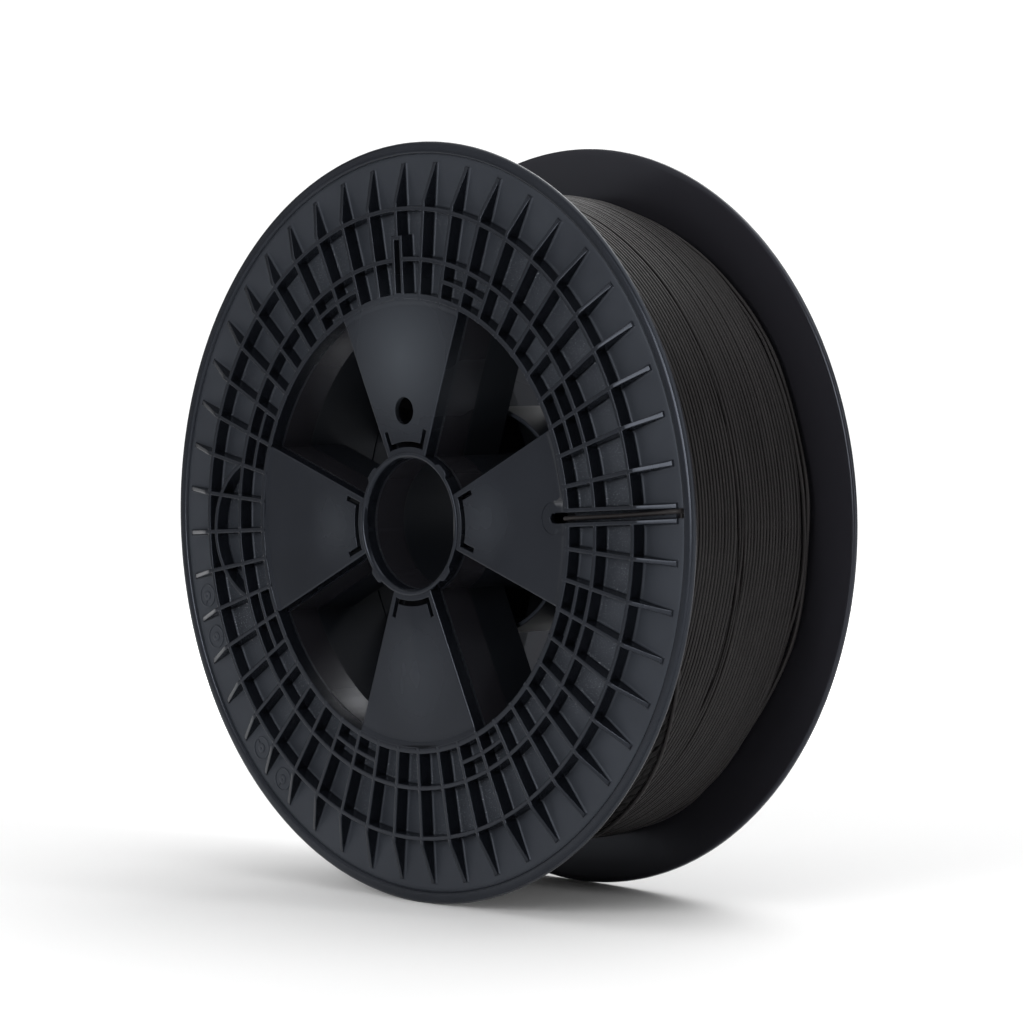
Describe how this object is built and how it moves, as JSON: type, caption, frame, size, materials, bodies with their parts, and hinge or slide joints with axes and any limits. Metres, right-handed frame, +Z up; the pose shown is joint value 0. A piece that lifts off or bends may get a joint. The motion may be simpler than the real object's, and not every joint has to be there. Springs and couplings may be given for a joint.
{
  "type": "filament spool",
  "caption": "Large plastic filament spool in two plug-together halves with ribbed flanges, windowed spokes and a round bore, wound with thin black filament.",
  "frame": {"origin": "middle of the bore, halfway between the two outer faces", "axes": "+Y along the spool's axis towards the rear half, +Z up through the front driving hole, +X along the channel that holds the filament's end"},
  "size_m": [0.3, 0.102, 0.3],
  "materials": {
    "moulding": "satin injection-moulded black plastic with a blue-grey cast",
    "filament": "matte extruded black filament, slightly brown"
  },
  "bodies": {
    "root": {"front_half": "moulding", "rear_half": "moulding", "filament_winding": "filament", "filament_end": "filament"}
  },
  "joints": []
}
